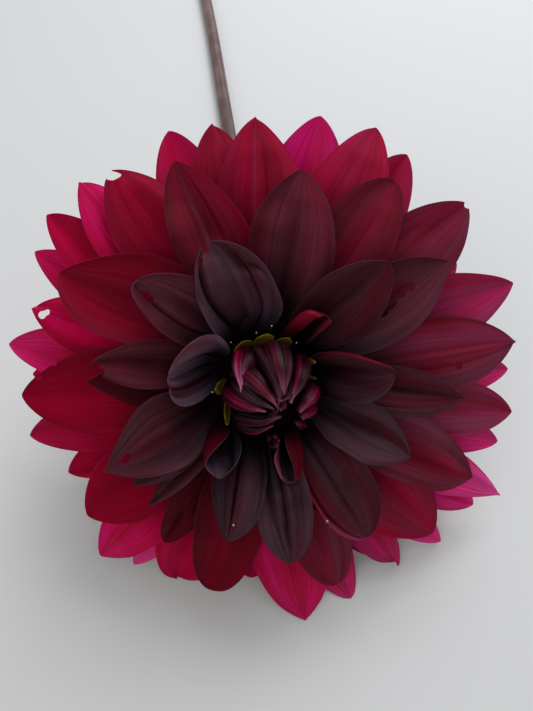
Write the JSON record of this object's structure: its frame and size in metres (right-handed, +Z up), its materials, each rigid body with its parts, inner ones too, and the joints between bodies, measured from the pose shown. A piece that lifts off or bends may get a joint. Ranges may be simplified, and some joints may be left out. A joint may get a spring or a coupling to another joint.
{
  "type": "decorative dahlia bloom",
  "caption": "Large cut dahlia bloom with layered, cupped petals round a closed bud, lying on its back on a long bent stem.",
  "frame": {"origin": "middle of the whole flower's footprint, on the surface it lies on", "axes": "+Z up from the surface; +Y along the stem from the bloom to the cut end; +X to the right of the bloom's face as it looks towards -Y"},
  "size_m": [0.1814, 0.484, 0.1105],
  "materials": {
    "petals": "velvety, dark wine red to magenta",
    "bud": "satin, nearly black maroon with rosy streaks",
    "scales": "thin, dry, yellow-green",
    "calyx": "satin green",
    "stem": "fine ribbed, brown-maroon"
  },
  "bodies": {
    "root": {"petals": "petals", "bud": "bud", "scales": "scales", "calyx": "calyx", "stem": "stem"}
  },
  "joints": []
}
